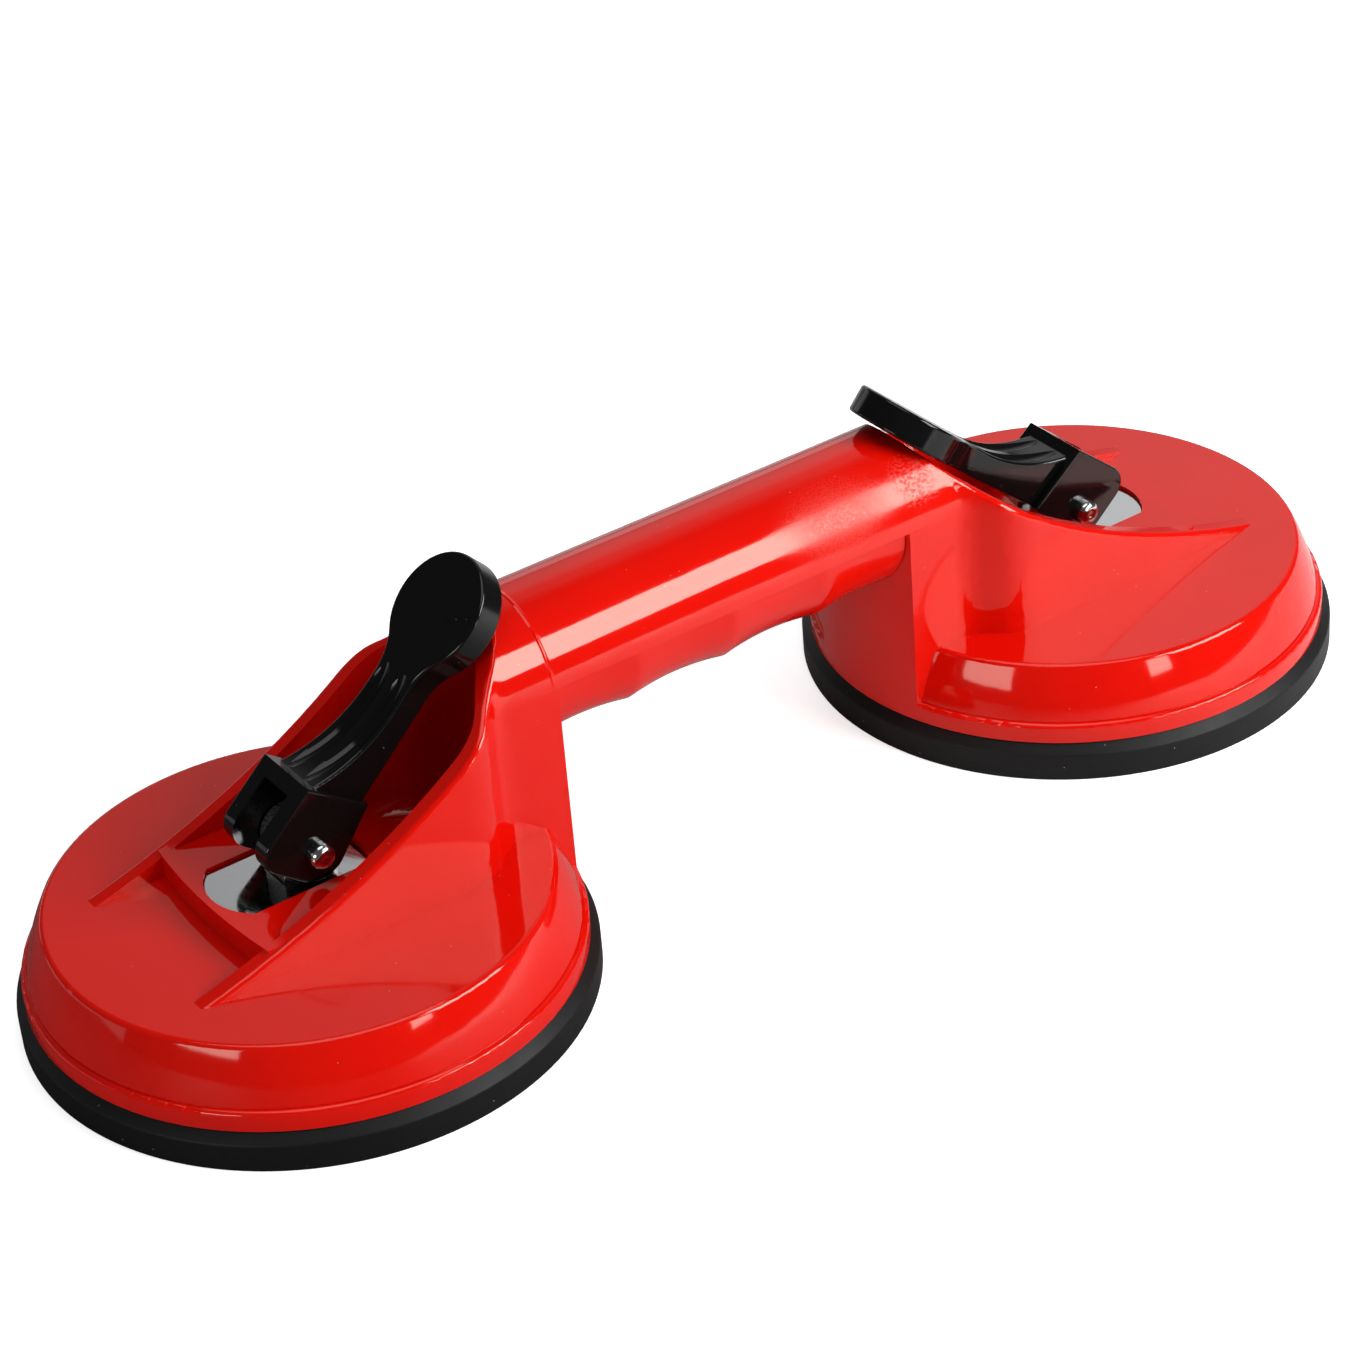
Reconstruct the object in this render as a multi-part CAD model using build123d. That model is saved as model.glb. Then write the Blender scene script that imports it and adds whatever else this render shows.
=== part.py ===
"""Double suction lifter for floor tiles.

Two rubber cups sit under one red moulding whose towers carry a round handle.
Each cup is pulled up by a stud, a pin and a forked cam lever that turns in
the well between the tower's side walls and bears on a steel wear plate.

Millimetres. X runs along the handle, Z is up, and the origin lies on the
floor midway between the two cups. A distance called "reach" is measured
along X from the axis of a cup, away from the handle.
"""
from build123d import *
from math import acos, atan2, cos, hypot, radians, sin, sqrt
import os

# Overall layout
cup_spacing = 198.0
handle_axis_height = 53.7
handle_radius = 16.6
disc_top = 24.5
overrun = 1.0
edge_tolerance = 0.05

# Rubber pad
pad_radius = 59.0
pad_edge_height = 6.2
pad_height = 8.4
pad_chamfer = 2.4
pad_ring_width = 9.0
pad_hollow_depth = 1.2
pad_groove_width = 1.6
pad_groove_depth = 0.8
pad_groove_share = (0.52, 0.68, 0.84)
pad_edge_fillet = 0.8
pad_core_gap = 0.05

# Steel insert moulded into the rubber
insert_radius = 27.0
insert_thickness = 2.0
insert_floor = 3.4
insert_hole_radius = 2.5
insert_hole_count = 6
insert_hole_ring = 19.5

# Cup of the red moulding
lip_inset = 1.8
lip_height = 4.3
lip_fillet_share = 0.85
groove_inset = 1.3
groove_height = 0.7
shoulder_inset = 5.6
shoulder_fillet = 1.6
band_bulge = 0.35
cup_wall = 3.2
rib_thickness = 2.2
rib_count = 12
rib_depth = 8.0
rib_inner_radius = 30.0

# Towers, side walls and the well between them
wall_half_width = 24.0
wall_thickness = 3.9
tip_reach = 35.1
flare_start = -27.0
flare_end = -43.5
flare_along_share = 0.45
flare_across_share = 0.30
well_floor = 17.5
well_end_wall = 3.5
well_fillet = 4.0
rim_mid_share = 0.262
rim_knee_reach = -28.7
rim_knee_over_axis = -0.8
rim_crest_reach = -48.1
rim_fillet = 1.2

# Handle and the cover that closes it from below
handle_wall = 3.0
seam_height = 1.6
grip_inset = 0.5
finger_pitch = 24.0
finger_depth = 1.1
finger_count = 4
grip_gap = 0.15
grip_rib_thickness = 2.0
grip_rib_pitch = 18.0
grip_rib_count = 5

# Platform and steel wear plate
platform_top = 29.8
platform_reach = 20.5
platform_back = -13.5
platform_arch = 1.6
platform_roof = 3.0
plate_half_width = 9.65
plate_reach = 18.85
plate_back = -12.5
plate_thickness = 1.5
plate_top = 29.0
plate_end_radius = 13.0
plate_gap = 0.1

# Pull stud
stud_half_thickness = 3.9
stud_half_width = 5.9
stud_hole_gap = 0.5
stud_foot_radius = 9.5
stud_foot_height = 2.6

# Pin
pin_reach = -1.3
pin_height = 36.2
pin_radius = 2.75
pin_hole_gap = 0.05
pin_end_proud = 3.0
pin_end_fillet = 1.5
pin_dimple_radius = 0.9
pin_dimple_depth = 0.3

# Cam lever, measured from the pin with the lever folded in
cam_radius = 6.8
face_distance = 11.2
face_angle = 50.7
front_angle = -48.6
nose_radius = 4.6
top_corner = (-0.4, 15.1)
rear_corner = (-12.8, 5.2)
head_half_width = 8.5
head_slot_half_width = 4.4
head_slot_gap = 0.5
head_fillet = 0.6
arm_top_start = 2.6
arm_root_half_width = 6.9
arm_neck_half_width = 5.2
arm_straight_reach = 20.0
paddle_reach = 38.5
paddle_over_crest = 1.4
paddle_radius = 12.4
paddle_angle = 41.7
paddle_thickness = 6.2
paddle_fillet = 0.7
neck_fillet = 12.0
scoop_radius = 2.6
scoop_depth = 1.2
scoop_offset = 3.1
scoop_run_up = 6.0
lever_ajar_angle = 2.2

# Sizes that follow from those above
lip_radius = pad_radius - lip_inset
groove_radius = lip_radius - groove_inset
shoulder_radius = lip_radius - shoulder_inset
lip_fillet = groove_inset * lip_fillet_share
handle_crest = handle_axis_height + handle_radius
rim_mid_height = disc_top + (handle_crest - disc_top) * rim_mid_share
rim_knee_height = handle_axis_height + rim_knee_over_axis
paddle_rise = handle_crest + paddle_over_crest - pin_height


def mirrored(shape):
    """The same piece for the cup on the other side."""
    return mirror(shape, about=Plane.YZ)


def at_cup(shape):
    """Moves a piece from a cup's own axis to its place on the +X side."""
    return Pos(cup_spacing / 2, 0, 0) * shape


def bar(x0, x1, y0, y1, z0, z1):
    """A block between two corners."""
    return Pos((x0 + x1) / 2, (y0 + y1) / 2, (z0 + z1) / 2) * Box(x1 - x0, y1 - y0, z1 - z0)


def in_xz(points):
    """Corners given as (x, z), placed in the XZ plane."""
    return [(x, 0, z) for x, z in points]


def ring_edges(shape, height, radius, reach):
    """Circular edges of a shape near a height and a radius."""
    return [e for e in shape.edges().filter_by(GeomType.CIRCLE)
            if abs(e.center().Z - height) < reach and abs(e.radius - radius) < reach]


def cup_solid():
    """Solid cup with lip, groove, slightly rounded band and shoulder."""
    lip_top = pad_height + lip_height
    band_foot = lip_top + groove_height
    middle = ((groove_radius + shoulder_radius) / 2 + band_bulge, (band_foot + disc_top) / 2)
    outline = Polyline(in_xz([(shoulder_radius, disc_top), (0, disc_top), (0, pad_height),
                              (lip_radius, pad_height), (lip_radius, lip_top),
                              (groove_radius, lip_top), (groove_radius, band_foot)]))
    band = ThreePointArc(*in_xz([(groove_radius, band_foot), middle, (shoulder_radius, disc_top)]))
    cup = revolve(make_face(Curve() + [outline, band]), axis=Axis.Z)
    cup = fillet(ring_edges(cup, lip_top, lip_radius, groove_height / 2), lip_fillet)
    return fillet(ring_edges(cup, disc_top, shoulder_radius, groove_height / 2), shoulder_fillet)


def flare_line(full, narrow):
    """Plan curve of a side wall, from its full width in to the strip by the handle."""
    run = flare_end - flare_start
    middle = (flare_start + run * flare_along_share, full - (full - narrow) * flare_across_share)
    return Spline((flare_start, full), middle, (flare_end, narrow), tangents=[(-1, 0), (-1, 0)])


def wall_plan(inset, end_reach, end_line):
    """Plan of a tower or its well: walls, flare and the end under the handle."""
    full = wall_half_width - inset
    narrow = handle_radius - inset
    side = [Line((end_reach, full), (flare_start, full)), flare_line(full, narrow)]
    if end_line[0] < flare_end:
        side.append(Line((flare_end, narrow), (end_line[0], narrow)))
    other = [mirror(line, about=Plane.XZ) for line in side]
    end = ThreePointArc((end_line[0], narrow), (end_line[1], 0), (end_line[0], -narrow))
    front = Line((end_reach, -full), (end_reach, full))
    return make_face(Curve() + side + other + [end, front])


def tower_plan():
    """Outer plan, ending in the curved wall that faces the other cup."""
    corner = -sqrt(lip_radius ** 2 - handle_radius ** 2)
    return wall_plan(0, tip_reach, (corner, -lip_radius))


def well_plan():
    """Inner plan, with a round end."""
    return wall_plan(wall_thickness, tip_reach + overrun, (flare_end, well_end_wall - lip_radius))


def arch(plan, far_end):
    """Upper half of a plan turned about the handle's axis."""
    half = plan & Pos((far_end + flare_start) / 2, wall_half_width) * Rectangle(
        flare_start - far_end, wall_half_width * 2)
    turned = Pos(0, 0, handle_axis_height) * revolve(half, axis=Axis.X)
    reach = cup_spacing
    return turned & bar(-reach, reach, -reach, reach, handle_axis_height, handle_axis_height + reach)


def above_rim():
    """Everything above the swept rim of the side walls, as one tall prism."""
    crest = handle_crest
    top = crest + wall_half_width
    rim = Spline(*in_xz([(tip_reach, disc_top), (0, rim_mid_height), (rim_knee_reach, rim_knee_height),
                         (rim_crest_reach, crest)]))
    lid = Polyline(in_xz([(rim_crest_reach, crest), (rim_crest_reach, top), (pad_radius, top),
                          (pad_radius, disc_top), (tip_reach, disc_top)]))
    face = make_face(Curve() + [rim, lid])
    return extrude(face, wall_half_width + overrun, both=True)


def tower_solid():
    """Tower under the handle's axis, with the flared arch and half the handle above it."""
    lower = Pos(0, 0, pad_height) * extrude(tower_plan(), handle_axis_height - pad_height)
    handle_plan = Pos(-cup_spacing / 4, 0) * Rectangle(cup_spacing / 2, handle_radius * 2)
    handle_plan = handle_plan & Pos(flare_end - cup_spacing / 2, 0) * Rectangle(cup_spacing, cup_spacing)
    upper = arch(tower_plan() + handle_plan, -cup_spacing / 2)
    return lower + upper


def well_solid():
    """Space between the walls: shallow over the disc, deep behind the platform."""
    plan = well_plan()
    shallow = Pos(0, 0, disc_top) * extrude(plan, handle_axis_height - disc_top)
    behind = Pos(platform_back - cup_spacing / 2, 0) * Rectangle(cup_spacing, cup_spacing)
    deep = Pos(0, 0, well_floor) * extrude(plan & behind, disc_top - well_floor)
    deep = fillet(deep.faces().sort_by(Axis.Z)[0].edges(), well_fillet)
    return shallow + deep + arch(plan, -cup_spacing / 2)


def platform_solid():
    """Raised platform between the walls that carries the wear plate."""
    half = wall_half_width - wall_thickness / 2
    front = ThreePointArc((platform_reach - platform_arch, -half), (platform_reach, 0),
                          (platform_reach - platform_arch, half))
    sides = Polyline((platform_reach - platform_arch, half), (platform_back, half),
                     (platform_back, -half), (platform_reach - platform_arch, -half))
    block = extrude(make_face(Curve() + [front, sides]), platform_top - disc_top + cup_wall)
    return Pos(0, 0, disc_top - cup_wall) * block


def plate_plan(gap):
    """Plan of the wear plate, or of its pocket with a gap all round."""
    half = plate_half_width + gap
    radius = plate_end_radius + gap
    corner = plate_reach + gap - radius + sqrt(radius ** 2 - half ** 2)
    front = ThreePointArc((corner, -half), (plate_reach + gap, 0), (corner, half))
    sides = Polyline((corner, half), (plate_back - gap, half), (plate_back - gap, -half), (corner, -half))
    return make_face(Curve() + [front, sides])


def stud_hole(bottom, top):
    """Opening for the stud's blade between two heights."""
    half_x = stud_half_width + stud_hole_gap
    half_y = stud_half_thickness + stud_hole_gap
    return bar(pin_reach - half_x, pin_reach + half_x, -half_y, half_y, bottom, top)


def under_cup():
    """Hollow under the cup, around the well's shell, with ribs left standing."""
    roof = disc_top - cup_wall
    inner = [(0, pad_height - overrun), (lip_radius - cup_wall * 2, pad_height - overrun),
             (groove_radius - cup_wall * 1.5, pad_height + lip_height),
             (shoulder_radius - cup_wall * 1.5, roof), (0, roof)]
    hollow = revolve(make_face(Polyline(in_xz(inner), close=True)), axis=Axis.Z)
    under_platform = bar(platform_back + cup_wall, platform_reach - cup_wall * 1.5,
                         wall_thickness - wall_half_width, wall_half_width - wall_thickness,
                         pad_height, platform_top - platform_roof - plate_thickness)
    shell_plan = wall_plan(0, platform_back + cup_wall, (flare_end, -lip_radius))
    shell = Pos(0, 0, well_floor - cup_wall) * extrude(shell_plan, disc_top)
    rib = bar(rib_inner_radius, lip_radius, -rib_thickness / 2, rib_thickness / 2, roof - rib_depth, roof)
    hollow = hollow - shell
    for index in range(rib_count):
        hollow = hollow - Rot(0, 0, (index + 1 / 2) * 360 / rib_count) * rib
    return hollow + under_platform


def handle_hollow():
    """Space inside the handle between the two towers."""
    length = cup_spacing - 2 * lip_radius
    return Pos(0, 0, handle_axis_height) * Rot(0, 90, 0) * Cylinder(handle_radius - handle_wall, length)


def between_towers(gap):
    """Everything outside the curved inner walls of both towers."""
    reach = cup_spacing / 2
    block = bar(-reach, reach, -reach, reach, 0, handle_axis_height + reach)
    for side in (-1, 1):
        block = block - Pos(side * reach, 0, reach) * Cylinder(lip_radius + gap, cup_spacing * 2)
    return block


def make_handle_body():
    """One red moulding: two cups, two towers and the upper half of the handle."""
    cup = cup_solid() + tower_solid()
    cup = cup - above_rim()
    cup = cup - well_solid()
    cup = fillet(outer_rim(cup), rim_fillet)
    cup = cup + (platform_solid() & tower_outline())
    cup = cup - under_cup()
    cup = cup - Pos(0, 0, plate_top - plate_thickness) * extrude(plate_plan(plate_gap), platform_top)
    cup = cup - stud_hole(0, platform_top + overrun)
    half = at_cup(cup)
    body = half + mirrored(half)
    seam = handle_axis_height + seam_height
    under_seam = between_towers(0) & bar(-cup_spacing, cup_spacing, -cup_spacing, cup_spacing,
                                         handle_axis_height - overrun, seam)
    return body - under_seam - handle_hollow()


def outer_rim(cup):
    """Edges along the outside of the swept rim."""
    swept = [f for f in cup.faces().filter_by(GeomType.EXTRUSION)
             if f.bounding_box().max.Z > handle_axis_height + rim_fillet]
    edges = []
    for edge in cup.edges():
        box = edge.bounding_box()
        outside = max(box.max.Y, -box.min.Y) > wall_half_width - rim_fillet / 2
        crest = box.min.X < rim_crest_reach + rim_fillet / 2 and max(box.max.Y, -box.min.Y) > rim_fillet
        if outside or crest:
            if any(touches(edge, face) for face in swept):
                edges.append(edge)
    return edges


def touches(edge, face):
    """Whether an edge lies on a face over its whole length."""
    shares = (0.1, 0.5, 0.9)
    return all(face.distance_to(edge @ share) < edge_tolerance for share in shares)


def tower_outline():
    """Tall prism of the tower's outer plan."""
    return extrude(tower_plan(), handle_axis_height)


def make_grip_cover():
    """Lower half of the handle, with finger grooves outside and locating ribs inside."""
    outer = handle_radius - grip_inset
    length = cup_spacing - 2 * (lip_radius - handle_radius)
    seam = handle_axis_height + seam_height - grip_gap
    tube = Rot(0, 90, 0) * Cylinder(outer, length)
    first = -finger_pitch * (finger_count - 1) / 2
    chord = finger_pitch / 2
    radius = (chord ** 2 + finger_depth ** 2) / (2 * finger_depth)
    for index in range(finger_count):
        centre = first + index * finger_pitch
        groove_face = Pos(centre, outer - finger_depth + radius) * Circle(radius)
        half = groove_face & Pos(centre, outer) * Rectangle(finger_pitch, outer)
        tube = tube - revolve(half, axis=Axis.X)
    tube = tube - Rot(0, 90, 0) * Cylinder(outer - handle_wall, length)
    tube = Pos(0, 0, handle_axis_height) * tube
    lower = tube & bar(-length, length, -outer, outer, 0, seam)
    for index in range(grip_rib_count):
        place = (index - (grip_rib_count - 1) / 2) * grip_rib_pitch
        disc = Rot(0, 90, 0) * Cylinder(handle_radius - handle_wall - grip_gap, grip_rib_thickness)
        lower = lower + Pos(place, 0, handle_axis_height) * disc
    return lower & between_towers(grip_gap)


def make_suction_pad():
    """Rubber disc with a sealing ring, a shallow hollow and a bed for the steel insert."""
    inner = pad_radius - pad_ring_width
    outline = [(0, pad_hollow_depth), (inner, pad_hollow_depth), (inner + pad_hollow_depth * 2, 0),
               (pad_radius, 0), (pad_radius, pad_edge_height), (pad_radius - pad_chamfer, pad_height),
               (0, pad_height)]
    pad = revolve(make_face(Polyline(in_xz(outline), close=True)), axis=Axis.Z)
    pad = fillet(ring_edges(pad, pad_edge_height, pad_radius, pad_edge_fillet / 2), pad_edge_fillet)
    for share in pad_groove_share:
        radius = inner * share
        ring = Cylinder(radius + pad_groove_width / 2, pad_groove_depth) - Cylinder(
            radius - pad_groove_width / 2, pad_groove_depth)
        pad = pad - Pos(0, 0, pad_hollow_depth + pad_groove_depth / 2) * ring
    gap = pad_core_gap
    bed = Pos(0, 0, insert_floor + insert_thickness / 2) * Cylinder(insert_radius + gap,
                                                                    insert_thickness + 2 * gap)
    socket = Pos(0, 0, pad_height) * Cylinder(stud_foot_radius + stud_hole_gap, pad_height)
    socket = socket & bar(-pad_radius, pad_radius, -pad_radius, pad_radius,
                          insert_floor, pad_height + overrun)
    return at_cup(pad - bed - socket)


def make_pad_insert():
    """Steel disc that spreads the stud's pull over the rubber."""
    disc = Pos(0, 0, insert_floor + insert_thickness / 2) * Cylinder(insert_radius, insert_thickness)
    for index in range(insert_hole_count):
        hole = Pos(insert_hole_ring, 0, insert_floor) * Cylinder(insert_hole_radius, insert_thickness * 4)
        disc = disc - Rot(0, 0, index * 360 / insert_hole_count) * hole
    return at_cup(disc)


def make_wear_plate():
    """Steel strip in the platform's pocket, with the stud's slot through it."""
    plate = Pos(0, 0, plate_top - plate_thickness) * extrude(plate_plan(0), plate_thickness)
    return at_cup(plate - stud_hole(0, platform_top))


def make_pull_stud():
    """Blade with an eye for the pin, standing on a round foot."""
    foot_base = insert_floor + insert_thickness
    foot = Pos(0, 0, foot_base + stud_foot_height / 2) * Cylinder(stud_foot_radius, stud_foot_height)
    blade = bar(pin_reach - stud_half_width, pin_reach + stud_half_width, -stud_half_thickness,
                stud_half_thickness, foot_base, pin_height)
    eye = Pos(pin_reach, 0, pin_height) * Rot(90, 0, 0) * Cylinder(stud_half_width, stud_half_thickness * 2)
    hole = Pos(pin_reach, 0, pin_height) * Rot(90, 0, 0) * Cylinder(pin_radius + pin_hole_gap,
                                                                    stud_half_thickness * 4)
    return at_cup(foot + blade + eye - hole)


def make_lever_pin():
    """Steel pin with rounded, dimpled ends that stand proud of the fork."""
    half = head_half_width + pin_end_proud
    pin = Cylinder(pin_radius, half * 2)
    pin = fillet(pin.edges().filter_by(GeomType.CIRCLE), pin_end_fillet)
    for side in (-1, 1):
        dimple = Cone(0, pin_dimple_radius, pin_dimple_depth)
        if side < 0:
            dimple = Rot(180, 0, 0) * dimple
        pin = pin - Pos(0, 0, side * (half - pin_dimple_depth / 2)) * dimple
    return at_cup(Pos(pin_reach, 0, pin_height) * Rot(90, 0, 0) * pin)


def crossing(angle_a, distance_a, angle_b, distance_b):
    """Where two lines meet, each given by its normal's angle and distance from the pin."""
    na = (cos(radians(angle_a)), sin(radians(angle_a)))
    nb = (cos(radians(angle_b)), sin(radians(angle_b)))
    turn = na[0] * nb[1] - na[1] * nb[0]
    return ((distance_a * nb[1] - distance_b * na[1]) / turn,
            (na[0] * distance_b - nb[0] * distance_a) / turn)


def tangent_point(corner, radius, side):
    """Touching point of the tangent from a corner to the circle round the pin."""
    angle = atan2(corner[1], corner[0]) + side * acos(radius / hypot(*corner))
    return (radius * cos(angle), radius * sin(angle))


def head_face():
    """Side view of the fork: flat locking face, round nose, cam round the pin."""
    nose = crossing(face_angle, face_distance, front_angle, cam_radius)
    front_foot = (cam_radius * cos(radians(front_angle)), cam_radius * sin(radians(front_angle)))
    rear_foot = tangent_point(rear_corner, cam_radius, 1)
    corners = [top_corner, nose, front_foot, rear_foot, rear_corner]
    face = make_face(Polyline(corners, close=True))
    tip = face.vertices().sort_by(lambda v: hypot(v.X - nose[0], v.Y - nose[1]))[0]
    return fillet(tip, nose_radius) + Circle(cam_radius)


def arm_face():
    """Side view of the arm: straight under the paddle, hollow towards the fork."""
    slope = radians(paddle_angle)
    along = (-cos(slope), sin(slope))
    down = (-sin(slope), -cos(slope))
    past = paddle_radius + overrun
    end = (past * along[0] - paddle_reach, past * along[1] + paddle_rise)
    bend, root = arm_ends()
    inside = (0, 0)
    top = TangentArc(bend, root, tangent=(-along[0], -along[1]))
    low_end = (end[0] + paddle_thickness * down[0], end[1] + paddle_thickness * down[1])
    under = (bend[0] + paddle_thickness * down[0], bend[1] + paddle_thickness * down[1])
    rest = Polyline(root, inside, rear_corner, under, low_end, end, bend)
    return make_face(Curve() + [top, rest])


def arm_ends():
    """Where the hollow in the arm's top starts by the paddle and ends by the fork."""
    slope = radians(paddle_angle)
    bend = (arm_straight_reach * cos(slope) - paddle_reach, paddle_rise - arm_straight_reach * sin(slope))
    rear = (rear_corner[0] - top_corner[0], rear_corner[1] - top_corner[1])
    share = arm_top_start / hypot(*rear)
    return bend, (top_corner[0] + rear[0] * share, top_corner[1] + rear[1] * share)


def scoops():
    """Two lens-shaped scoops from the neck down the hollow, deepest half way."""
    slope = radians(paddle_angle)
    bend, root = arm_ends()
    hollow = (root[0] - bend[0], root[1] - bend[1])
    hollow_radius = hypot(*hollow) ** 2 / (2 * (hollow[0] * sin(slope) + hollow[1] * cos(slope)))
    start = (bend[0] - scoop_run_up * cos(slope), bend[1] + scoop_run_up * sin(slope))
    chord = (root[0] - start[0], root[1] - start[1])
    length = hypot(*chord)
    across = (-chord[1] / length, chord[0] / length)
    to_centre = (bend[0] - start[0] + hollow_radius * sin(slope),
                 bend[1] - start[1] + hollow_radius * cos(slope))
    drop = hollow_radius - (to_centre[0] * across[0] + to_centre[1] * across[1]) + scoop_depth
    radius = (length ** 2 / 4 + drop ** 2) / (2 * drop)
    rise = radius - drop
    middle = ((start[0] + root[0]) / 2 + across[0] * rise, (start[1] + root[1]) / 2 + across[1] * rise)
    cut = Torus(radius - scoop_radius, scoop_radius)
    return [Pos(middle[0], middle[1], side * scoop_offset) * cut for side in (-1, 1)]


def lever_plan():
    """Outline seen square to the arm: round paddle, waisted neck and arm."""
    slope = radians(paddle_angle)
    reach = paddle_reach * cos(slope) + paddle_rise * sin(slope)
    face = Pos(reach, 0) * Circle(paddle_radius)
    arm = make_face(Polyline((0, -arm_root_half_width), (reach, -arm_neck_half_width),
                             (reach, arm_neck_half_width), (0, arm_root_half_width), close=True))
    outline = face + arm
    waist = [v for v in outline.vertices() if 0 < v.X < reach]
    return fillet(waist, neck_fillet)


def paddle_rims(arm):
    """Upper and lower edges round the paddle."""
    wide = [e for e in arm.edges() if e.bounding_box().max.Z > arm_root_half_width
            or e.bounding_box().min.Z < -arm_root_half_width]
    return [e for e in wide if e.geom_type != GeomType.LINE]


def slot_prism():
    """Room for the stud between the fork's ears over the whole swing."""
    half = stud_half_width + head_slot_gap
    reach = paddle_radius * 2
    swing_end = face_angle
    room = Pos(0, 0) * Circle(half)
    start = -90
    steps = 8
    for index in range(steps + 1):
        angle = start + (swing_end - start) * index / steps
        room = room + Rot(0, 0, angle) * Pos(reach / 2, 0) * Rectangle(reach, half * 2)
    return extrude(room, head_slot_half_width, both=True)


def make_cam_lever():
    """Black lever: forked cam head, hollowed arm and round paddle."""
    head = extrude(head_face(), head_half_width, both=True)
    ends = head.faces().sort_by(Axis.Z)
    head = fillet(ends[0].edges() + ends[-1].edges(), head_fillet)
    arm = extrude(arm_face(), paddle_radius, both=True)
    slope = radians(paddle_angle)
    square = Plane(origin=(0, 0, 0), x_dir=(-cos(slope), sin(slope), 0), z_dir=(sin(slope), cos(slope), 0))
    arm = arm & (square * extrude(lever_plan(), paddle_radius * 3, both=True))
    arm = fillet(paddle_rims(arm), paddle_fillet)
    for scoop in scoops():
        arm = arm - scoop
    lever = head + arm
    lever = lever - slot_prism()
    lever = lever - Cylinder(pin_radius + pin_hole_gap, head_half_width * 4)
    return at_cup(Pos(pin_reach, 0, pin_height) * Rot(90, 0, 0) * lever)


def ajar(lever):
    """The left lever as it stands, a little further open on its pin than the right one."""
    pin_axis = Axis((-cup_spacing / 2 - pin_reach, 0, pin_height), (0, -1, 0))
    return lever.rotate(pin_axis, lever_ajar_angle)


def main():
    """Writes every piece to its own file."""
    os.makedirs("parts", exist_ok=True)
    pieces = {"handle_body": make_handle_body(), "grip_cover": make_grip_cover()}
    for name, make in (("suction_pad", make_suction_pad), ("pad_insert", make_pad_insert),
                       ("wear_plate", make_wear_plate), ("pull_stud", make_pull_stud),
                       ("lever_pin", make_lever_pin), ("cam_lever", make_cam_lever)):
        piece = make()
        pieces[name + "_right"] = piece
        pieces[name + "_left"] = mirrored(piece)
    pieces["cam_lever_left"] = ajar(pieces["cam_lever_left"])
    for name, piece in pieces.items():
        export_step(piece, "parts/" + name + ".step")


if __name__ == "__main__":
    main()
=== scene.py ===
"""Looks of a double suction lifter, laid out as a Blender add-on and run as a script."""
from math import cos, pi, radians, sin

import bpy
from bpy.props import FloatProperty, FloatVectorProperty, PointerProperty
from bpy.types import NodeSocket, Operator, Panel, PropertyGroup
from mathutils import Matrix, Vector


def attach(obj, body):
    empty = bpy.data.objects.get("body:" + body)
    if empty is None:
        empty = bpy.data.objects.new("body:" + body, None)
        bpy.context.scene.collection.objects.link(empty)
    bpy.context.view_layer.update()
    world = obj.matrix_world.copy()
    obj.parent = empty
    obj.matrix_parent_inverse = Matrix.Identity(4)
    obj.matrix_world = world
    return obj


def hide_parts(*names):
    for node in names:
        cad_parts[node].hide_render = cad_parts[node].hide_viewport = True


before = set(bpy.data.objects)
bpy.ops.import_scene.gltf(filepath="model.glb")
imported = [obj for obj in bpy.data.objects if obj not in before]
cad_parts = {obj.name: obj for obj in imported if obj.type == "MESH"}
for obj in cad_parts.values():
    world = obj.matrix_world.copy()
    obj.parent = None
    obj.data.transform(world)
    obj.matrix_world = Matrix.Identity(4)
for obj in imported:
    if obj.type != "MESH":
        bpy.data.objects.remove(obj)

bl_info = {
    "name": "Suction lifter looks",
    "version": (1, 0, 0),
    "blender": (4, 5, 0),
    "location": "View3D > Sidebar > Lifter",
    "description": "Dresses the packed double suction lifter with its finished pieces and stage",
    "category": "Object",
}

MM = 0.001
SIDES = ("left", "right")

# Edges: a sharper edge is rounded, a flatter one is shaded smooth (angles in degrees).
MERGE_WITHIN = 0.002 * MM
FLAT_WITHIN = 0.4
SHARP_FROM, SMOOTH_TO = 32.0, 28.0
LEVER_SHARP_FROM, LEVER_SMOOTH_TO = 14.0, 12.0
PIN_SMOOTH_TO = 35.0
EDGE_STEPS = 3
FACE_WEIGHT = 80

# Surfaces: inputs of the shared node groups, roughness from clean to cloudy, and bumps as
# strength and depth.
RED_RIPPLE = {"Wave per metre": 60.0, "Grain per metre": 650.0, "Grain share": 0.07}
RED_DUST = {"Cell per metre": 900.0, "Share": 0.02, "Dot": 0.09}
RED_SCRATCH = {"Stretch": (60.0, 60.0, 2400.0), "Turn": 0.4, "Edge": 0.74}
RED_GLOSS, RED_SCRATCHED, RED_RUBBED = (0.05, 0.09), 0.4, 0.5
RED_BUMP = (0.25, 0.25 * MM)
RED_SHEEN = (1.0, 0.93, 0.80, 1.0)
BLACK_RIPPLE = {"Wave per metre": 120.0, "Grain per metre": 2400.0, "Grain share": 0.15}
BLACK_DUST = {"Cell per metre": 1100.0, "Share": 0.02, "Dot": 0.10}
BLACK_SCRATCH = {"Stretch": (150.0, 900.0, 900.0), "Turn": 0.9, "Edge": 0.68}
BLACK_GLOSS, BLACK_SCRATCHED = (0.06, 0.12), 0.25
BLACK_BUMP = (0.3, 0.06 * MM)
BLACK_SPECULAR = 0.35
RUBBER_RIPPLE = {"Wave per metre": 130.0, "Grain per metre": 2600.0, "Grain share": 0.6}
RUBBER_DUST = {"Cell per metre": 1000.0, "Share": 0.02, "Dot": 0.12}
RUBBER_GLOSS = (0.42, 0.58)
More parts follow.
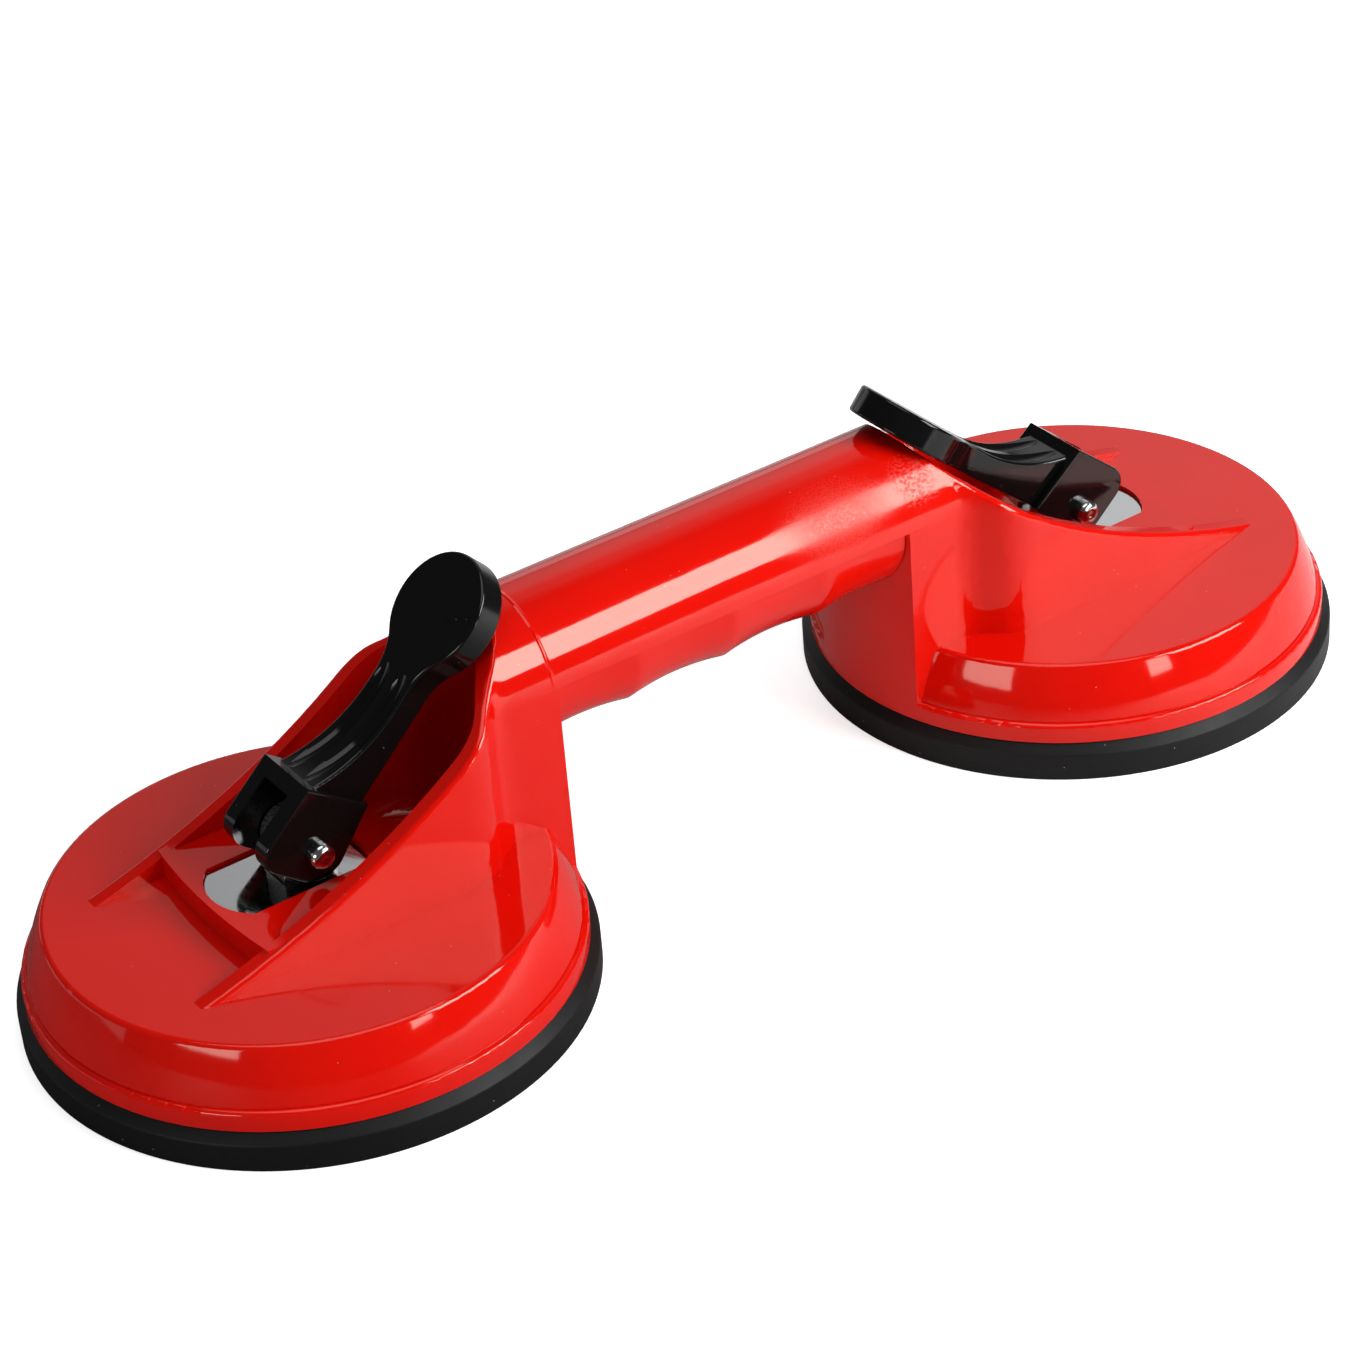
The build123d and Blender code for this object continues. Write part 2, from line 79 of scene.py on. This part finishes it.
RUBBER_BUMP = (0.4, 0.12 * MM)
RUBBER_SPECULAR = 0.25
ROLLING_STRETCH, ROLLING_EDGE = (90.0, 3200.0, 3200.0), 0.45
ROLLING_BUMP = (0.12, 0.02 * MM)
SHEET_SHADE, PLATED_SHADE = 0.86, 0.8
SHEET_GLOSS, SHEET_TURN = (0.05, 0.12), 1.2
PLATED_GLOSS, PLATED_TURN = (0.25, 0.4), 0.3
PIN_LINES = {"Stretch": (900.0, 900.0, 900.0), "Turn": 0.0, "Edge": 0.5}
PIN_SHADE, PIN_ROUGHNESS = 0.8, 0.14
PIN_RING_PITCH = 0.35 * MM
PIN_BUMP = (0.25, 0.03 * MM)
WAVE_DETAIL, GRAIN_DETAIL, SCRATCH_DETAIL, SCUFF_DETAIL = 2.0, 3.0, 2.0, 6.0
SCRATCH_SOFTNESS = 0.08

# Marks of use: centre, reach along each axis, grain per metre and tear of each rubbed patch
# on the handle, and the ring mark's place along X, its half width and its lowest height.
SCUFFS = (((0.0290, -0.013, 0.0645), (0.021, 0.014, 0.014), 3200.0, (0.25, 0.60)),
          ((0.0490, -0.012, 0.0650), (0.0090, 0.010, 0.010), 1800.0, (0.46, 0.56)))
SCUFF_RIM, SCUFF_CORE = 1.0, 0.2
RING_PLACE, RING_HALF_WIDTH = -45.05 * MM, 0.55 * MM
RING_FROM, RING_FULL = 55.0 * MM, 58.0 * MM
RING_BUMP = (0.55, 0.25 * MM)

# Stage: name, azimuth, elevation, distance, size and brightness of each light. The azimuth
# is 0 in front and grows to the right, and white paper in full light has brightness 1.
LIGHTS = (("key_softbox", 36.0, 32.0, 0.95, (0.60, 0.41), 9.8),
          ("low_front_box", 8.0, 14.0, 0.95, (0.16, 0.20), 6.0),
          ("left_window", -72.0, 15.0, 1.15, (0.46, 0.30), 4.0),
          ("left_wall", -128.0, 4.0, 1.3, (1.15, 0.34), 0.45),
          ("back_sweep", 168.0, 8.0, 1.6, (1.9, 0.42), 0.5),
          ("ceiling", 0.0, 89.0, 1.3, (0.95, 0.95), 1.4))
LIGHT_TARGET = Vector((0.0, 0.0, 0.04))
WATTS_PER_AREA = 4.0
FLOOR_SIZE = 12.0
FLOOR_ROUGHNESS = 0.6
FLOOR_FADE = (-0.15, 0.22)
FLOOR_DIM = 0.12
FLOOR_GLOW = 0.7
WALL_WAY = (136.0, 30.0)
WALL_EDGE, WALL_POWER = 0.82, 2.0
WALL_BRIGHT, ROOM_DIM = 0.75, 0.07
SENSOR_WIDTH = 36.0
CLIP_NEAR, CLIP_FAR = 0.05, 50.0

VALUE, VECTOR = "NodeSocketFloat", "NodeSocketVector"


def colour(name, note, default):
    """A colour that the user can change."""
    return FloatVectorProperty(name=name, description=note, default=default, subtype="COLOR",
                               size=3, min=0.0, max=1.0)


def length(name, note, default):
    """A length in metres that the user can change."""
    return FloatProperty(name=name, description=note, default=default, unit="LENGTH",
                         precision=5, min=0.0)


class LifterSizes(PropertyGroup):
    """Sizes of the finished pieces that the CAD model leaves to this file."""

    rim_round: length("Rim rounding", "Rounding of the red moulding's edges", 0.45 * MM)
    grip_round: length("Grip rounding", "Rounding of the grip cover's edges", 0.3 * MM)
    lever_round: length("Lever rounding", "Rounding of the black lever's edges", 0.4 * MM)
    plate_round: length("Plate rounding", "Rounding of the wear plate's edges", 0.12 * MM)
    pad_round: length("Pad rounding", "Rounding of the rubber disc's corners", 0.7 * MM)


class LifterColours(PropertyGroup):
    """Colours of the finishes."""

    red: colour("Red plastic", "Moulding and grip cover", (0.70, 0.005, 0.001))
    red_deep: colour("Deep red", "Darker clouds in the red plastic", (0.63, 0.003, 0.0008))
    black: colour("Black plastic", "Cam levers", (0.0035, 0.0035, 0.0035))
    rubber: colour("Rubber", "Suction pads", (0.005, 0.005, 0.005))
    steel: colour("Steel", "Wear plates, studs and inserts", (0.70, 0.71, 0.72))
    pin: colour("Pin steel", "Lever pins", (0.80, 0.80, 0.81))
    dust: colour("Dust", "Specks lying on the plastic", (0.30, 0.26, 0.25))
    floor: colour("Floor", "The pale floor", (0.90, 0.90, 0.90))


class LifterStage(PropertyGroup):
    """The camera, which stands where the photograph was taken from."""

    azimuth: FloatProperty(name="Camera azimuth", description="0 looks along +Y",
                           default=radians(-32.713), subtype="ANGLE")
    elevation: FloatProperty(name="Camera elevation", description="Height above the horizon",
                             default=radians(33.012), subtype="ANGLE")
    roll: FloatProperty(name="Camera roll", description="Turn about the line of sight",
                        default=radians(-4.819), subtype="ANGLE")
    distance: FloatProperty(name="Camera distance", description="From the aim point",
                            default=0.86963, unit="LENGTH")
    aim: FloatVectorProperty(name="Aim", description="Point that the camera looks at",
                             default=(0.02184, 0.04157, 0.0), size=3, unit="LENGTH")
    lens: FloatProperty(name="Lens", description="Focal length in mm on a 36 mm sensor",
                        default=102.682, unit="CAMERA")


def only(*objects):
    """Selects these objects and nothing else, the last one active."""
    bpy.ops.object.select_all(action="DESELECT")
    for ob in objects:
        ob.select_set(True)
        bpy.context.view_layer.objects.active = ob


def add_modifier(ob, name, kind, **values):
    """Adds a modifier with its values and applies it."""
    modifier = ob.modifiers.new(name, kind)
    for key, value in values.items():
        setattr(modifier, key, value)
    only(ob)
    bpy.ops.object.modifier_apply(modifier=name)


def smooth(ob, angle):
    """Smooth shading, with edges sharper than the angle kept crisp."""
    only(ob)
    bpy.ops.object.shade_smooth_by_angle(angle=radians(angle))


def working_copy(node, name):
    """A merged copy of a CAD node, cleaned of its loose triangles, to be finished as a piece."""
    only(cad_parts[node])
    bpy.ops.object.duplicate()
    ob = bpy.context.view_layer.objects.active
    ob.name = ob.data.name = name
    ob.parent = None
    for key in list(ob.keys()):
        if key.startswith("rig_"):
            del ob[key]
    only(ob)
    bpy.ops.mesh.customdata_custom_splitnormals_clear()
    bpy.ops.object.mode_set(mode="EDIT")
    bpy.ops.mesh.select_mode(type="VERT")
    bpy.ops.mesh.select_all(action="SELECT")
    bpy.ops.mesh.remove_doubles(threshold=MERGE_WITHIN)
    bpy.ops.mesh.dissolve_limited(angle_limit=radians(FLAT_WITHIN))
    bpy.ops.object.mode_set(mode="OBJECT")
    return ob


def round_edges(ob, width, sharp=SHARP_FROM, flat=SMOOTH_TO):
    """Rounds the edges that are sharper than one angle and smooths those below the other."""
    add_modifier(ob, "Rounded edges", "BEVEL", width=width, segments=EDGE_STEPS,
                 limit_method="ANGLE", angle_limit=radians(sharp), offset_type="OFFSET",
                 use_clamp_overlap=True, miter_outer="MITER_ARC", harden_normals=False)
    smooth(ob, flat)
    add_modifier(ob, "Flat faces lead", "WEIGHTED_NORMAL", keep_sharp=True, weight=FACE_WEIGHT)


def dress(ob, material):
    """Gives a piece one material."""
    ob.data.materials.clear()
    ob.data.materials.append(material)


def stand_in(ob, node, body):
    """Puts a finished piece in place of a CAD node."""
    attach(ob, body)
    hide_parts(node)


def feed(tree, value, socket):
    """Feeds a socket from another one, or sets it to a fixed value."""
    if isinstance(value, NodeSocket):
        tree.links.new(value, socket)
    else:
        socket.default_value = value


def place_on_piece(tree):
    """Object coordinates, which stay with the piece."""
    return tree.nodes.new("ShaderNodeTexCoord").outputs["Object"]


def calc(tree, operation, *values):
    """A sum on sockets and fixed numbers."""
    node = tree.nodes.new("ShaderNodeMath")
    node.operation = operation
    for value, socket in zip(values, node.inputs):
        feed(tree, value, socket)
    return node.outputs[0]


def ramp(tree, value, low, high, shape="SMOOTHSTEP"):
    """Lifts low..high to 0..1, with soft ends unless the shape is LINEAR."""
    node = tree.nodes.new("ShaderNodeMapRange")
    node.interpolation_type = shape
    for key, part in (("Value", value), ("From Min", low), ("From Max", high)):
        feed(tree, part, node.inputs[key])
    return node.outputs["Result"]


def noise(tree, place, scale, detail):
    """A cloudy pattern's value at a place."""
    node = tree.nodes.new("ShaderNodeTexNoise")
    for key, part in (("Vector", place), ("Scale", scale), ("Detail", detail)):
        feed(tree, part, node.inputs[key])
    return node.outputs["Fac"]


def blend(tree, mask, low, high, kind="FLOAT"):
    """Goes from low to high as the mask goes from 0 to 1."""
    node = tree.nodes.new("ShaderNodeMix")
    node.data_type = kind
    for key, part in (("Factor", mask), ("A", low), ("B", high)):
        feed(tree, part, node.inputs[key])
    return node.outputs["Result"]


def blend_colour(tree, mask, low, high):
    """Blends two colours, each a socket or three fixed numbers."""
    ends = (end if isinstance(end, NodeSocket) else (*end, 1.0) for end in (low, high))
    return blend(tree, mask, *ends, kind="RGBA")


def bump(tree, height, strength, depth, under=None):
    """A surface raised by a height, on top of another bumped surface if one is given."""
    node = tree.nodes.new("ShaderNodeBump")
    for key, part in (("Height", height), ("Strength", strength), ("Distance", depth)):
        feed(tree, part, node.inputs[key])
    if under:
        feed(tree, under, node.inputs["Normal"])
    return node.outputs["Normal"]


def split(tree, place, axis):
    """One coordinate of a place."""
    node = tree.nodes.new("ShaderNodeSeparateXYZ")
    feed(tree, place, node.inputs["Vector"])
    return node.outputs[axis]


def vector_calc(tree, operation, *values):
    """A vector sum, as the node with both of its outputs."""
    node = tree.nodes.new("ShaderNodeVectorMath")
    node.operation = operation
    for value, socket in zip(values, node.inputs):
        feed(tree, value, socket)
    return node


def new_group(name, inputs, *outputs):
    """An empty shader node group: its tree, its inputs' sockets and its outputs' sockets."""
    group = bpy.data.node_groups.new(name, "ShaderNodeTree")
    for label, kind, default in inputs:
        socket = group.interface.new_socket(name=label, in_out="INPUT", socket_type=kind)
        socket.default_value = default
    for label in outputs:
        group.interface.new_socket(name=label, in_out="OUTPUT", socket_type=VALUE)
    start, end = group.nodes.new("NodeGroupInput"), group.nodes.new("NodeGroupOutput")
    return group, start.outputs, end.inputs


def dust_group():
    """Small bright specks: a few cells of a fine pattern, each with a dot at its centre."""
    inputs = (("Cell per metre", VALUE, 220.0), ("Share", VALUE, 0.06), ("Dot", VALUE, 0.10))
    group, given, made = new_group("Dust specks", inputs, "Mask")
    cells = group.nodes.new("ShaderNodeTexVoronoi")
    feed(group, place_on_piece(group), cells.inputs["Vector"])
    feed(group, given["Cell per metre"], cells.inputs["Scale"])
    lot = group.nodes.new("ShaderNodeSeparateColor")
    feed(group, cells.outputs["Color"], lot.inputs["Color"])
    chosen = calc(group, "LESS_THAN", lot.outputs["Red"], given["Share"])
    dot = calc(group, "LESS_THAN", cells.outputs["Distance"], given["Dot"])
    feed(group, calc(group, "MULTIPLY", chosen, dot), made["Mask"])
    return group


def ripple_group():
    """Height of a moulded surface: slow waves left by the mould under a very fine grain."""
    inputs = (("Wave per metre", VALUE, 90.0), ("Grain per metre", VALUE, 1800.0),
              ("Grain share", VALUE, 0.15))
    group, given, made = new_group("Moulded ripple", inputs, "Height", "Cloud")
    place = place_on_piece(group)
    wave = noise(group, place, given["Wave per metre"], WAVE_DETAIL)
    grain = noise(group, place, given["Grain per metre"], GRAIN_DETAIL)
    feed(group, blend(group, given["Grain share"], wave, grain), made["Height"])
    feed(group, wave, made["Cloud"])
    return group


def scratch_group():
    """Fine straight scratches along one direction of the piece."""
    inputs = (("Stretch", VECTOR, (40.0, 2500.0, 2500.0)), ("Turn", VALUE, 0.0),
              ("Edge", VALUE, 0.62))
    group, given, made = new_group("Fine scratches", inputs, "Mask", "Height")
    turn = group.nodes.new("ShaderNodeVectorRotate")
    turn.rotation_type = "Z_AXIS"
    feed(group, place_on_piece(group), turn.inputs["Vector"])
    feed(group, given["Turn"], turn.inputs["Angle"])
    drawn = vector_calc(group, "MULTIPLY", turn.outputs["Vector"], given["Stretch"])
    streak = noise(group, drawn.outputs["Vector"], 1.0, SCRATCH_DETAIL)
    full = calc(group, "ADD", given["Edge"], SCRATCH_SOFTNESS)
    feed(group, ramp(group, streak, given["Edge"], full), made["Mask"])
    feed(group, streak, made["Height"])
    return group


GROUP_MAKERS = {"Dust specks": dust_group, "Moulded ripple": ripple_group,
                "Fine scratches": scratch_group}


def place_group(tree, name, values):
    """A shared group placed in a material with its own values, as its outputs' sockets."""
    node = tree.nodes.new("ShaderNodeGroup")
    node.node_tree = bpy.data.node_groups.get(name) or GROUP_MAKERS[name]()
    for key, value in values.items():
        node.inputs[key].default_value = value
    return node.outputs


def new_material(name):
    """A material with a Principled shader: the material, its tree and the shader's sockets."""
    material = bpy.data.materials.new(name)
    material.use_nodes = True
    tree = material.node_tree
    return material, tree, tree.nodes["Principled BSDF"].inputs


def scuff(tree, centre, reach, grain, tear):
    """A rubbed patch: a ragged mask that fades out from a centre over a reach on each axis."""
    place = place_on_piece(tree)
    patch = tree.nodes.new("ShaderNodeMapping")
    patch.vector_type = "TEXTURE"
    for key, part in (("Vector", place), ("Location", centre), ("Scale", reach)):
        feed(tree, part, patch.inputs[key])
    far = vector_calc(tree, "LENGTH", patch.outputs["Vector"]).outputs["Value"]
    near = ramp(tree, far, SCUFF_RIM, SCUFF_CORE)
    torn = ramp(tree, noise(tree, place, grain, SCUFF_DETAIL), *tear)
    return calc(tree, "MULTIPLY", near, torn)


def ring_mark(tree):
    """A narrow ring across the top of the handle, as a mould insert leaves it."""
    place = place_on_piece(tree)
    away = calc(tree, "SUBTRACT", split(tree, place, "X"), RING_PLACE)
    line = ramp(tree, calc(tree, "ABSOLUTE", away), RING_HALF_WIDTH, 0.0)
    high = ramp(tree, split(tree, place, "Z"), RING_FROM, RING_FULL)
    return calc(tree, "MULTIPLY", line, high)


def red_plastic():
    """Glossy red moulded plastic: clouds, mould waves, dust, scratches and rubbed patches."""
    tints = bpy.context.scene.lifter_colours
    material, tree, shader = new_material("Red moulded plastic")
    ripple = place_group(tree, "Moulded ripple", RED_RIPPLE)
    specks = place_group(tree, "Dust specks", RED_DUST)["Mask"]
    scratches = place_group(tree, "Fine scratches", RED_SCRATCH)["Mask"]
    tint = blend_colour(tree, ripple["Cloud"], tints.red_deep, tints.red)
    worn = calc(tree, "MAXIMUM", specks, scratches)
    rubbed = calc(tree, "MAXIMUM", *(scuff(tree, *patch) for patch in SCUFFS))
    gloss = blend(tree, ripple["Cloud"], *RED_GLOSS)
    gloss = blend(tree, worn, gloss, RED_SCRATCHED)
    waves = bump(tree, ripple["Height"], *RED_BUMP)
    feed(tree, blend_colour(tree, specks, tint, tints.dust), shader["Base Color"])
    feed(tree, blend(tree, rubbed, gloss, RED_RUBBED), shader["Roughness"])
    feed(tree, bump(tree, ring_mark(tree), *RING_BUMP, under=waves), shader["Normal"])
    feed(tree, RED_SHEEN, shader["Specular Tint"])
    return material


def black_plastic():
    """Glossy black plastic of the levers, with grain, dust and light handling marks."""
    tints = bpy.context.scene.lifter_colours
    material, tree, shader = new_material("Black moulded plastic")
    ripple = place_group(tree, "Moulded ripple", BLACK_RIPPLE)
    specks = place_group(tree, "Dust specks", BLACK_DUST)["Mask"]
    scratches = place_group(tree, "Fine scratches", BLACK_SCRATCH)["Mask"]
    gloss = blend(tree, ripple["Cloud"], *BLACK_GLOSS)
    feed(tree, blend_colour(tree, specks, tints.black, tints.dust), shader["Base Color"])
    feed(tree, blend(tree, scratches, gloss, BLACK_SCRATCHED), shader["Roughness"])
    feed(tree, bump(tree, ripple["Height"], *BLACK_BUMP), shader["Normal"])
    feed(tree, BLACK_SPECULAR, shader["Specular IOR Level"])
    return material


def soft_rubber():
    """Matt black rubber with a fine skin and lint."""
    tints = bpy.context.scene.lifter_colours
    material, tree, shader = new_material("Black rubber")
    ripple = place_group(tree, "Moulded ripple", RUBBER_RIPPLE)
    specks = place_group(tree, "Dust specks", RUBBER_DUST)["Mask"]
    feed(tree, blend_colour(tree, specks, tints.rubber, tints.dust), shader["Base Color"])
    feed(tree, blend(tree, ripple["Cloud"], *RUBBER_GLOSS), shader["Roughness"])
    feed(tree, bump(tree, ripple["Height"], *RUBBER_BUMP), shader["Normal"])
    feed(tree, RUBBER_SPECULAR, shader["Specular IOR Level"])
    return material


def rolled_steel(name, tint, gloss, turn):
    """Bright sheet steel with fine rolling lines."""
    material, tree, shader = new_material(name)
    lines = place_group(tree, "Fine scratches",
                        {"Stretch": ROLLING_STRETCH, "Turn": turn, "Edge": ROLLING_EDGE})
    shade = [SHEET_SHADE * v for v in tint]
    feed(tree, blend_colour(tree, lines["Height"], shade, tint), shader["Base Color"])
    feed(tree, blend(tree, lines["Mask"], *gloss), shader["Roughness"])
    feed(tree, bump(tree, lines["Height"], *ROLLING_BUMP), shader["Normal"])
    feed(tree, 1.0, shader["Metallic"])
    return material


def turned_steel():
    """Polished pin steel with fine turning rings along it."""
    tint = bpy.context.scene.lifter_colours.pin
    material, tree, shader = new_material("Turned pin steel")
    lines = place_group(tree, "Fine scratches", PIN_LINES)
    along = split(tree, place_on_piece(tree), "Y")
    rings = calc(tree, "SINE", calc(tree, "MULTIPLY", along, 2 * pi / PIN_RING_PITCH))
    shade = [PIN_SHADE * v for v in tint]
    feed(tree, blend_colour(tree, lines["Height"], shade, tint), shader["Base Color"])
    feed(tree, bump(tree, rings, *PIN_BUMP), shader["Normal"])
    feed(tree, 1.0, shader["Metallic"])
    feed(tree, PIN_ROUGHNESS, shader["Roughness"])
    return material


class LIFTER_OT_moulding(Operator):
    """Makes the red moulding and the grip cover from their CAD forms, with rounded edges"""

    bl_idname = "lifter.moulding"
    bl_label = "Red moulding and grip"

    def execute(self, context):
        sizes = context.scene.lifter_sizes
        plastic = red_plastic()
        for node, name, width in (("handle_body", "red_moulding", sizes.rim_round),
                                  ("grip_cover", "red_grip", sizes.grip_round)):
            ob = working_copy(node, name)
            round_edges(ob, width)
            dress(ob, plastic)
            stand_in(ob, node, "body")
        return {"FINISHED"}


class LIFTER_OT_levers(Operator):
    """Makes both black cam levers from their CAD forms, with rounded edges"""

    bl_idname = "lifter.levers"
    bl_label = "Cam levers"

    def execute(self, context):
        plastic = black_plastic()
        for side in SIDES:
            ob = working_copy("cam_lever_" + side, "black_lever_" + side)
            round_edges(ob, context.scene.lifter_sizes.lever_round,
                        LEVER_SHARP_FROM, LEVER_SMOOTH_TO)
            dress(ob, plastic)
            stand_in(ob, "cam_lever_" + side, "lever_" + side)
        return {"FINISHED"}


class LIFTER_OT_pads(Operator):
    """Makes both rubber discs from their CAD forms, with rounded corners"""

    bl_idname = "lifter.pads"
    bl_label = "Rubber discs"

    def execute(self, context):
        rubber = soft_rubber()
        for side in SIDES:
            ob = working_copy("suction_pad_" + side, "rubber_disc_" + side)
            round_edges(ob, context.scene.lifter_sizes.pad_round)
            dress(ob, rubber)
            stand_in(ob, "suction_pad_" + side, "body")
        return {"FINISHED"}


class LIFTER_OT_steel(Operator):
    """Makes the wear plates and pins, and finishes the studs and inserts"""

    bl_idname = "lifter.steel"
    bl_label = "Steel pieces"

    def execute(self, context):
        tint = context.scene.lifter_colours.steel
        sheet = rolled_steel("Polished sheet steel", tint, SHEET_GLOSS, SHEET_TURN)
        plated = rolled_steel("Plated steel", [PLATED_SHADE * v for v in tint],
                              PLATED_GLOSS, PLATED_TURN)
        turned = turned_steel()
        for side in SIDES:
            plate = working_copy("wear_plate_" + side, "steel_plate_" + side)
            round_edges(plate, context.scene.lifter_sizes.plate_round)
            dress(plate, sheet)
            stand_in(plate, "wear_plate_" + side, "body")
            pin = working_copy("lever_pin_" + side, "steel_pin_" + side)
            smooth(pin, PIN_SMOOTH_TO)
            dress(pin, turned)
            stand_in(pin, "lever_pin_" + side, "stud_" + side)
            for node in ("pull_stud_", "pad_insert_"):
                dress(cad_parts[node + side], plated)
        return {"FINISHED"}


def towards(azimuth, elevation):
    """Direction from the lifter: 0 is the front, and the azimuth grows to the right."""
    return Vector((sin(azimuth) * cos(elevation), -cos(azimuth) * cos(elevation),
                   sin(elevation)))


def soft_light(name, azimuth, elevation, distance, size, brightness):
    """A rectangular soft light that faces the lifter."""
    way = towards(radians(azimuth), radians(elevation))
    bpy.ops.object.light_add(type="AREA")
    ob = bpy.context.object
    ob.name = ob.data.name = name
    ob.data.shape = "RECTANGLE"
    ob.data.size, ob.data.size_y = size
    ob.data.energy = WATTS_PER_AREA * size[0] * size[1] * brightness
    turn = way.to_track_quat("Z", "Y").to_matrix().to_4x4()
    ob.matrix_world = Matrix.Translation(LIGHT_TARGET + way * distance) @ turn


class LIFTER_OT_stage(Operator):
    """Makes the pale floor, the soft lights, the world and the camera"""

    bl_idname = "lifter.stage"
    bl_label = "Stage"

    def execute(self, context):
        bpy.ops.object.select_all(action="DESELECT")
        bpy.ops.mesh.primitive_plane_add(size=FLOOR_SIZE, location=(0.0, 0.0, 0.0))
        floor = bpy.context.object
        floor.name = "pale_floor"
        dress(floor, self.pale_floor(context.scene.lifter_colours.floor))
        for light in LIGHTS:
            soft_light(*light)
        world = bpy.data.worlds.new("Studio")
        context.scene.world = world
        world.use_nodes = True
        self.light_sky(world.node_tree)
        context.scene.view_settings.view_transform = "Standard"
        self.place_camera(context.scene)
        return {"FINISHED"}

    def pale_floor(self, tint):
        """Pale paper: even for the camera and soft bounce, dimmer on the left in reflections."""
        material, tree, shader = new_material("Pale floor")
        path = tree.nodes.new("ShaderNodeLightPath").outputs
        across = ramp(tree, split(tree, place_on_piece(tree), "X"), *FLOOR_FADE)
        mirrored = blend_colour(tree, across, [FLOOR_DIM * v for v in tint], tint)
        even = calc(tree, "MAXIMUM", path["Is Camera Ray"], path["Is Diffuse Ray"])
        feed(tree, blend_colour(tree, even, mirrored, tint), shader["Base Color"])
        feed(tree, (1.0, 1.0, 1.0, 1.0), shader["Emission Color"])
        glow = calc(tree, "MULTIPLY", path["Is Camera Ray"], FLOOR_GLOW)
        feed(tree, glow, shader["Emission Strength"])
        feed(tree, FLOOR_ROUGHNESS, shader["Roughness"])
        return material

    def light_sky(self, tree):
        """A dim room with one bright wall behind the lifter, on the right."""
        way = tree.nodes.new("ShaderNodeTexCoord").outputs["Generated"]
        wall = towards(*(radians(angle) for angle in WALL_WAY))
        near = vector_calc(tree, "DOT_PRODUCT", way, wall).outputs["Value"]
        lit = calc(tree, "POWER", ramp(tree, near, WALL_EDGE, 1.0, "LINEAR"), WALL_POWER)
        tone = blend_colour(tree, lit, [ROOM_DIM] * 3, [WALL_BRIGHT] * 3)
        feed(tree, tone, tree.nodes["Background"].inputs["Color"])

    def place_camera(self, scene):
        """Stands the camera where the photograph was taken from."""
        stage = scene.lifter_stage
        back = towards(stage.azimuth, stage.elevation)
        right = (-back).cross(Vector((0, 0, 1))).normalized()
        up = right.cross(-back)
        side = right * cos(stage.roll) + up * sin(stage.roll)
        top = up * cos(stage.roll) - right * sin(stage.roll)
        bpy.ops.object.camera_add()
        camera = bpy.context.object
        camera.name = "photo_camera"
        camera.data.lens = stage.lens
        camera.data.sensor_width = SENSOR_WIDTH
        camera.data.clip_start, camera.data.clip_end = CLIP_NEAR, CLIP_FAR
        turn = Matrix((side, top, back)).transposed().to_4x4()
        camera.matrix_world = Matrix.Translation(Vector(stage.aim) + back * stage.distance) @ turn
        scene.camera = camera


STEPS = (LIFTER_OT_moulding, LIFTER_OT_levers, LIFTER_OT_pads, LIFTER_OT_steel, LIFTER_OT_stage)
GROUPS = (("lifter_sizes", LifterSizes), ("lifter_colours", LifterColours),
          ("lifter_stage", LifterStage))


class LIFTER_PT_panel(Panel):
    """Sidebar panel with the lifter's sizes, colours and steps"""

    bl_label = "Suction lifter"
    bl_space_type = "VIEW_3D"
    bl_region_type = "UI"
    bl_category = "Lifter"

    def draw(self, context):
        for name, group in GROUPS:
            box = self.layout.box()
            values = getattr(context.scene, name)
            for key in group.__annotations__:
                box.prop(values, key)
        for step in STEPS:
            self.layout.operator(step.bl_idname)


def register():
    """Registers the groups, the steps and the panel."""
    for name, group in GROUPS:
        bpy.utils.register_class(group)
        setattr(bpy.types.Scene, name, PointerProperty(type=group))
    for step in STEPS + (LIFTER_PT_panel,):
        bpy.utils.register_class(step)


def unregister():
    """Takes everything off again."""
    for step in reversed(STEPS + (LIFTER_PT_panel,)):
        bpy.utils.unregister_class(step)
    for name, group in reversed(GROUPS):
        delattr(bpy.types.Scene, name)
        bpy.utils.unregister_class(group)


def main():
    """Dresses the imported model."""
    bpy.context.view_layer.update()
    register()
    bpy.ops.lifter.moulding()
    bpy.ops.lifter.levers()
    bpy.ops.lifter.pads()
    bpy.ops.lifter.steel()
    bpy.ops.lifter.stage()
    bpy.context.view_layer.update()


if __name__ == "__main__":
    main()
